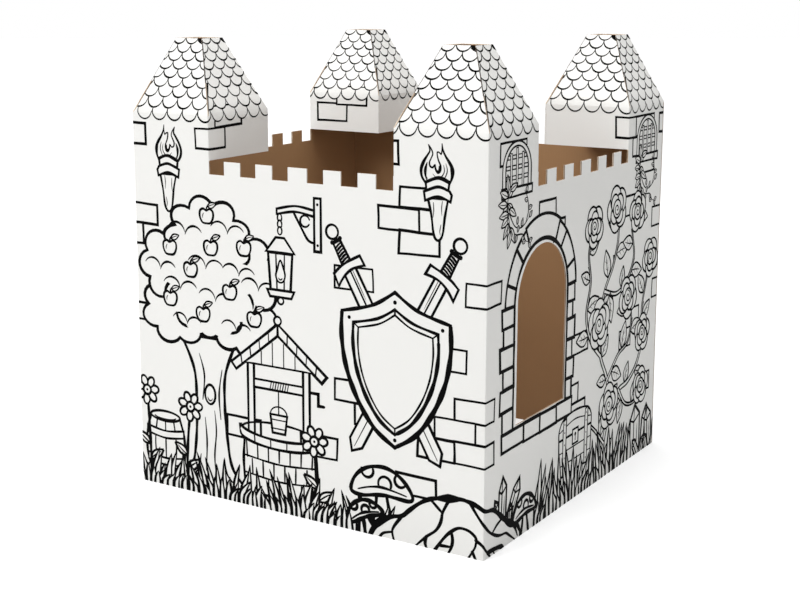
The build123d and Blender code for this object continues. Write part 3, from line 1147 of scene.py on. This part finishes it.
def cut_lines(regions):
    """Where the print is cut: along the edges of the regions and over the round of each upright fold."""
    lines = [(region[i - 1], region[i]) for region, _ in regions for i in range(len(region))]
    folds = [(CORNER, 0)] + [(corner[0], WALL_HEIGHT) for path in TOWER_PATHS for corner in path[1:-1]]
    for s, low in folds:
        for share in FOLD_CUTS:
            lines.append(((s + share * FOLD_RADIUS, low), (s + share * FOLD_RADIUS, EAVE)))
    return lines


def flatten(drawing, regions):
    """Corners of the triangles that show, and for each layer its triangles with their region's number."""
    points, outlines, owners, edges = [], [], [], []
    for number, (outline, _) in enumerate(drawing.shapes):
        first = len(points)
        points.extend(outline)
        for piece in split_outline(outline):
            outlines.append([first + i for i in piece])
            owners.append(number)
    for line in cut_lines(regions):
        edges.append((len(points), len(points) + 1))
        points.extend(line)

    flat = [Vector(p) for p in points]
    places, _, triangles, _, _, sources = delaunay_2d_cdt(flat, edges, outlines, TRIANGLES_INSIDE, WELD)
    layers = {}
    for triangle, source in zip(triangles, sources):
        layer = drawing.shapes[owners[max(source)]][1] if source else ""
        if not layer:
            continue
        middle = sum((places[i] for i in triangle), Vector((0, 0))) / len(triangle)
        for number, (region, _) in enumerate(regions):
            if inside(middle, region):
                layers.setdefault(layer, []).append((number, triangle))
                break
    return places, layers


def print_pieces(drawing, sheet):
    """Folds a drawing up with its sheet: one piece for each layer."""
    regions = sheet_regions()
    places, layers = flatten(drawing, regions)
    turn = TURNS[sheet]
    for layer, chosen in layers.items():
        used = sorted({(number, i) for number, triangle in chosen for i in triangle})
        index = {corner: new for new, corner in enumerate(used)}
        corners = []
        for number, i in used:
            point = fold_up(regions[number][1], places[i].x, places[i].y, INK_LIFT)
            corners.append(bend(turn @ point))
        faces = [[index[number, i] for i in triangle] for number, triangle in chosen]
        mesh = bpy.data.meshes.new(f"{sheet}_{layer}")
        mesh.from_pydata(corners, [], faces)
        mesh.materials.append(ink)
        piece = add_object(f"{sheet}_{layer}", mesh)
        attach(piece, "root")


# Materials
MEAN_SHADE = 0.53
FIBRE_SCALE = (420.0, 90.0, 1.0)
# The cut edge, in shares of the board's thickness: how far a flute swings from the middle, where its
# paper ends and the painted shade of the hollow is full, and where a liner begins and is full
FLUTE_SWING = 0.36
FLUTE_PAPER, HOLLOW_SHADE_FULL = 0.08, 0.2
LINER_START, LINER_FULL = 0.36, 0.42


def set_input(node, key, value):
    """Links a socket to an input of a node, or gives the input a value."""
    if isinstance(value, bpy.types.NodeSocket):
        node.id_data.links.new(value, node.inputs[key])
    else:
        node.inputs[key].default_value = value


def node_adder(tree):
    """A function that adds a node to the tree; inputs are given by name, or as i and their number."""
    def add(kind, settings=None, **inputs):
        node = tree.nodes.new(kind)
        for key, value in (settings or {}).items():
            setattr(node, key, value)
        for key, value in inputs.items():
            set_input(node, int(key[1:]) if key[1:].isdigit() else key, value)
        return node

    return add


def new_material(name):
    """A material, its Principled node, and a function that adds nodes to it."""
    material = bpy.data.materials.new(name)
    material.use_nodes = True
    tree = material.node_tree
    return material, tree.nodes["Principled BSDF"], node_adder(tree)


def math_node(add, operation, *values):
    """The result of one step of arithmetic."""
    inputs = {f"i{k}": value for k, value in enumerate(values)}
    return add("ShaderNodeMath", {"operation": operation}, **inputs).outputs[0]


def ranged(add, value, start, end, low=0.0, high=1.0):
    """A value that runs from low to high while the given one runs from start to end."""
    return add("ShaderNodeMapRange", i0=value, i1=start, i2=end, i3=low, i4=high).outputs[0]


def mixed(add, factor, a, b):
    """A colour between a and b."""
    return add("ShaderNodeMix", {"data_type": "RGBA"}, i0=factor, i6=a, i7=b).outputs[2]


def grain(add, place, scale, detail, roughness=0.5):
    """Noise between 0 and 1."""
    return add("ShaderNodeTexNoise", Vector=place, Scale=scale, Detail=detail, Roughness=roughness).outputs[0]


def board_place(add):
    """A place on the board, its second coordinate, and a wave of the flutes' pitch along its first."""
    place = add("ShaderNodeUVMap", {"uv_map": "board"}).outputs[0]
    split = add("ShaderNodeSeparateXYZ", i0=place)
    turns = math_node(add, "MULTIPLY", split.outputs[0], 2 * math.pi / (FLUTE_PITCH * MM))
    return place, split.outputs[1], math_node(add, "SINE", turns)


def liner_material(name, light, dark, fleck, fleck_share, ripple_shade):
    """The smooth face of corrugated board, with its fibres, and the faint ripple of the flutes in its bump
    and as painted shade in its colour.
    """
    material, shader, add = new_material(name)
    place, _, wave = board_place(add)
    base = mixed(add, grain(add, place, scale=5.0, detail=3.0, roughness=0.55), light, dark)
    flecks = ranged(add, grain(add, place, scale=650.0, detail=2.0), start=0.66, end=0.78)
    base = mixed(add, math_node(add, "MULTIPLY", flecks, fleck_share), base, fleck)
    # Painted shade: the colour darkens and lightens a little with the ripple of the flutes, around a mean mix
    # of its light and dark colours.
    shade = math_node(add, "MULTIPLY_ADD", wave, ripple_shade, MEAN_SHADE)
    set_input(shader, "Base Color", mixed(add, shade, base, dark))

    along_fibres = add("ShaderNodeMapping", Vector=place, Scale=FIBRE_SCALE).outputs[0]
    fibres = grain(add, along_fibres, scale=1.0, detail=4.0, roughness=0.7)
    set_input(shader, "Roughness", ranged(add, fibres, 0, 1, low=0.62, high=0.82))
    set_input(shader, "Specular IOR Level", 0.25)
    height = math_node(add, "ADD", math_node(add, "MULTIPLY", wave, 0.35), fibres)
    bump = add("ShaderNodeBump", Strength=0.35, Distance=0.06 * MM, Height=height)
    set_input(shader, "Normal", bump.outputs[0])
    return material


def edge_material():
    """The cut edge of the board: two liners with the flutes between them, and painted shade in the hollows of
    the flutes.
    """
    material, shader, add = new_material("cut_edge")
    place, depth, wave = board_place(add)
    flute = math_node(add, "ADD", math_node(add, "MULTIPLY", wave, FLUTE_SWING), 0.5)
    from_flute = math_node(add, "ABSOLUTE", math_node(add, "SUBTRACT", depth, flute))
    hollow_shade = ranged(add, from_flute, FLUTE_PAPER, HOLLOW_SHADE_FULL)
    from_middle = math_node(add, "ABSOLUTE", math_node(add, "SUBTRACT", depth, 0.5))
    liner = ranged(add, from_middle, LINER_START, LINER_FULL)
    fibres = grain(add, place, scale=700.0, detail=3.0)
    paper = mixed(add, fibres, (0.62, 0.50, 0.38, 1), (0.80, 0.70, 0.58, 1))
    # Painted shade: the hollows of the flutes between the liners are dark brown.
    body = mixed(add, hollow_shade, paper, (0.28, 0.19, 0.12, 1))
    set_input(shader, "Base Color", mixed(add, liner, body, paper))
    set_input(shader, "Roughness", ranged(add, fibres, 0, 1, low=0.75, high=0.95))
    set_input(shader, "Specular IOR Level", 0.15)
    solid = math_node(add, "MAXIMUM", liner, math_node(add, "SUBTRACT", 1.0, hollow_shade))
    bump = add("ShaderNodeBump", Strength=0.6, Distance=0.5 * MM, Height=solid)
    set_input(shader, "Normal", bump.outputs[0])
    return material


def ink_material():
    """Flat black printing ink on board."""
    material, shader, add = new_material("black_ink")
    place = add("ShaderNodeTexCoord").outputs["Object"]
    specks = grain(add, place, scale=260.0, detail=3.0)
    set_input(shader, "Base Color", mixed(add, specks, (0.001, 0.001, 0.001, 1), (0.003, 0.003, 0.003, 1)))
    set_input(shader, "Roughness", ranged(add, specks, 0, 1, low=0.6, high=0.8))
    set_input(shader, "Specular IOR Level", 0.03)
    return material


white_liner = liner_material("white_liner", light=(0.875, 0.87, 0.845, 1), dark=(0.84, 0.835, 0.81, 1),
                             fleck=(0.62, 0.58, 0.50, 1), fleck_share=0.10, ripple_shade=0.02)
kraft_liner = liner_material("kraft_liner", light=(0.40, 0.235, 0.115, 1), dark=(0.33, 0.185, 0.088, 1),
                             fleck=(0.20, 0.10, 0.05, 1), fleck_share=0.45, ripple_shade=0.05)
cut_edge = edge_material()
ink = ink_material()

# Board pieces
# The sides of the board in the order of its materials, then lengths in millimetres, then limits for
# the parts of a normal, the sharpest fold that is still shaded smooth, and where the flutes begin on an
# upright edge and how slowly they change up it
WHITE, KRAFT, EDGE = 0, 1, 2
GRID = 48.0
BACK_GAP_RISE = 5.0
SAME_PLANE = 0.1
CORNER_REACH = 6.0
SAME_NORMAL = 0.01
FACES_UP, FACES_LEVEL = 0.3, 0.5
SHARP_FOLD = math.radians(28)
FLUTE_START, FLUTE_RATE = 0.002, 0.02


def side_of_board(face, turn):
    """Which side of the board a face is; a cut edge in a tower takes the brown liner unless it faces up, as
    painted shade of the gaps and laps it lies in.
    """
    side = liner_or_edge(turn @ face.normal, turn @ face.calc_center_median() / MM)
    up_in_tower = face.calc_center_median().z > (WALL_HEIGHT + 1) * MM
    # Painted shade: the thin cut edges in the towers take the darker brown liner instead of the pale edge.
    return KRAFT if side == EDGE and up_in_tower and face.normal.z < FACES_UP else side


def liner_or_edge(normal, centre):
    """The side of the board that faces along a normal at a place on the front right sheet."""
    least = min(abs(normal.x), abs(normal.y))
    if abs(abs(normal.z) - LEAN_SIN) < SAME_NORMAL and least < SAME_NORMAL:
        if normal.z < 0:
            return KRAFT
        return EDGE if lap_end(normal, centre) else WHITE
    if abs(normal.z) > SAME_NORMAL:
        return EDGE
    if least > SAME_NORMAL:
        mitre = centre.z > EAVE and abs(abs(normal.x) - abs(normal.y)) < SAME_NORMAL
        from_corner = math.hypot(abs(centre.x) - HALF_SIDE, abs(centre.y) - HALF_SIDE)
        fold = centre.x > 0 or from_corner > CORNER_REACH
        return WHITE if fold and not mitre else EDGE

    along, across = (normal.x, centre.x) if abs(normal.x) > abs(normal.y) else (normal.y, centre.y)
    planes = [(HALF_SIDE, 1), (-HALF_SIDE, -1)]
    if centre.z > WALL_HEIGHT:
        planes += [(INNER, -1), (-INNER, 1)]
    for plane, facing in planes:
        depth = (plane - across) * facing
        for start in (0, LAP):
            if abs(depth - start) < SAME_PLANE and along * facing > 0:
                return WHITE
            if abs(depth - start - BOARD) < SAME_PLANE and along * facing < 0:
                return KRAFT
    return EDGE


def lap_end(normal, centre):
    """Whether a face of a roof side is the cut end of the flap that laps over this side."""
    step = Vector((-normal.y, normal.x)).normalized()
    middle = HALF_SIDE - TOWER_SIDE / 2
    tower = Vector((math.copysign(middle, centre.x), math.copysign(middle, centre.y)))
    up = (centre.z - EAVE) / LEAN_COS
    from_hip = (centre.xy - tower).dot(step) + TOWER_SIDE / 2 - up * LEAN_SIN
    return from_hip < LAP / LEAN_COS and up < LAP_TOP


def cut_grid(bm):
    """Cuts the board into squares, small enough to follow its bow."""
    for axis, low, high in ((0, -HALF_SIDE, HALF_SIDE), (1, -HALF_SIDE, HALF_SIDE), (2, 0, TOTAL_HEIGHT)):
        cuts = round((high - low) / GRID)
        direction = Vector([float(k == axis) for k in range(3)])
        for k in range(1, cuts):
            place = direction * (low + (high - low) * k / cuts) * MM
            everything = bm.verts[:] + bm.edges[:] + bm.faces[:]
            bmesh.ops.bisect_plane(bm, geom=everything, dist=WELD, plane_co=place, plane_no=direction)


def raise_back_gaps(bm):
    """Ends the back wall's gaps higher, since no light shows there below the tower in front of it."""
    for vert in bm.verts:
        in_back_wall = vert.co.y > (HALF_SIDE - 2 * BOARD) * MM
        if in_back_wall and abs(vert.co.z - GAP_BOTTOM * MM) < SAME_PLANE * MM:
            vert.co.z += BACK_GAP_RISE * MM


def edge_place(face, vert):
    """Where a corner of a cut edge lies: along the edge, and from its white side at 0 to its brown at 1."""
    sides = {other.material_index for other in vert.link_faces}
    depth = 0.0 if WHITE in sides else 1.0 if KRAFT in sides else 0.5
    if abs(face.normal.z) <= FACES_LEVEL:
        return FLUTE_START + vert.co.z * FLUTE_RATE, depth
    spread = [max(v.co[k] for v in face.verts) - min(v.co[k] for v in face.verts) for k in (0, 1)]
    return vert.co.x if spread[0] > spread[1] else vert.co.y, depth


def board_uv(bm):
    """Lays out the faces for the materials; an upright edge runs along a flute, so it hardly changes."""
    layer = bm.loops.layers.uv.new("board")
    for face in bm.faces:
        facing_x = abs(face.normal.x) > abs(face.normal.y)
        for loop in face.loops:
            co = loop.vert.co
            flat = (co.y if facing_x else co.x, co.z)
            loop[layer].uv = edge_place(face, loop.vert) if face.material_index == EDGE else flat


def board_piece(node, sheet):
    """A copy of a sheet of the frame with its liners, its cut edges and its gentle bow."""
    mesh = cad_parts[node].data.copy()
    mesh.name = f"{sheet}_board"
    bm = bmesh.new()
    bm.from_mesh(mesh)
    bmesh.ops.remove_doubles(bm, verts=bm.verts, dist=WELD)
    cut_grid(bm)
    bm.normal_update()
    for face in bm.faces:
        face.material_index = side_of_board(face, TURNS[sheet])
        face.smooth = True
    board_uv(bm)
    if sheet == "back_left":
        raise_back_gaps(bm)
    for edge in bm.edges:
        faces = edge.link_faces
        edge.smooth = len(faces) == 2 and faces[0].normal.angle(faces[1].normal, math.pi) < SHARP_FOLD
    for vert in bm.verts:
        vert.co = bend(vert.co)
    mesh.materials.clear()
    for material in (white_liner, kraft_liner, cut_edge):
        mesh.materials.append(material)
    bm.to_mesh(mesh)
    bm.free()
    piece = add_object(f"{sheet}_board", mesh)
    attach(piece, "root")
    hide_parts(node)


board_piece("front_right_sheet", "front_right")
board_piece("back_left_sheet", "back_left")
print_pieces(front_right_drawing(), "front_right")
print_pieces(back_left_drawing(), "back_left")

# Floor, light and camera
PLAIN_WHITE = (1, 1, 1, 1)
FLOOR_RADIUS = 30
LAMP_SIZE = 4.0


def seen_directly(add):
    """1 for what the camera sees, also in a mirror or through glass, and 0 for what only gives light."""
    path = add("ShaderNodeLightPath")
    seen = math_node(add, "MAXIMUM", path.outputs["Is Camera Ray"], path.outputs["Is Glossy Ray"])
    return math_node(add, "MAXIMUM", seen, path.outputs["Is Transmission Ray"])


def floor_material():
    """A pale floor that reads as white paper to the camera and still takes the shadow."""
    material, shader, add = new_material("floor")
    place = add("ShaderNodeTexCoord").outputs["Object"]
    clouds = grain(add, place, scale=14.0, detail=4.0)
    colour = mixed(add, clouds, (0.66, 0.66, 0.66, 1), (0.70, 0.70, 0.70, 1))
    set_input(shader, "Base Color", colour)
    set_input(shader, "Roughness", 0.9)
    set_input(shader, "Specular IOR Level", 0.1)
    away = add("ShaderNodeVectorMath", {"operation": "LENGTH"}, i0=place).outputs["Value"]
    glow = ranged(add, away, start=1.5, end=4.0, low=0.45, high=0.80)
    set_input(shader, "Emission Color", PLAIN_WHITE)
    set_input(shader, "Emission Strength", math_node(add, "MULTIPLY", seen_directly(add), glow))
    return material


def make_floor():
    """A wide round floor."""
    bm = bmesh.new()
    bmesh.ops.create_circle(bm, cap_ends=True, segments=96, radius=FLOOR_RADIUS)
    mesh = bpy.data.meshes.new("floor")
    bm.to_mesh(mesh)
    bm.free()
    mesh.materials.append(floor_material())
    floor = add_object("floor", mesh)


def make_world(strength):
    """White light from all round, and a plain white backdrop."""
    world = bpy.data.worlds.new("studio")
    world.use_nodes = True
    tree = world.node_tree
    add = node_adder(tree)
    light = tree.nodes["Background"]
    set_input(light, "Color", PLAIN_WHITE)
    set_input(light, "Strength", strength)
    backdrop = add("ShaderNodeBackground", Color=PLAIN_WHITE)
    mix = add("ShaderNodeMixShader", i0=seen_directly(add), i1=light.outputs[0], i2=backdrop.outputs[0])
    set_input(tree.nodes["World Output"], "Surface", mix.outputs[0])
    bpy.context.scene.world = world


def make_lamp(name, place, target, power):
    """A large round lamp that shines from a place to a target."""
    lamp = bpy.data.lights.new(name, "AREA")
    lamp.shape = "DISK"
    lamp.size = LAMP_SIZE
    lamp.energy = power
    holder = add_object(name, lamp)
    holder.location = place
    holder.rotation_euler = (Vector(target) - Vector(place)).to_track_quat("-Z", "Y").to_euler()


def make_camera():
    """The photograph's camera, from a fit of the castle's corners; its lens and middle are in pixels."""
    image_width, image_height = 800, 600
    focal, middle_x, middle_y = 1428.5, 376.0, 240.0
    sensor = 36.0
    camera = bpy.data.cameras.new("camera")
    camera.sensor_width = sensor
    camera.lens = focal / image_width * sensor
    camera.shift_x = (image_width / 2 - middle_x) / image_width
    camera.shift_y = (middle_y - image_height / 2) / image_width
    holder = add_object("camera", camera)
    holder.location = (1.840, -3.043, 1.217)
    yaw, pitch = math.radians(32.50), math.radians(10.14)
    holder.rotation_euler = (math.pi / 2 - pitch, 0, yaw)
    bpy.context.scene.camera = holder


make_floor()
make_world(strength=0.38)
make_lamp("key", (-3.0, -7.0, 5.5), (0, 0, 0.5), power=375)
make_lamp("side", (6.0, -3.0, 6.0), (0, 0, 0.5), power=75)
make_lamp("overhead", (0, 0, 5.0), (0, 0, 0), power=200)
make_camera()
bpy.context.scene.view_settings.view_transform = "Standard"
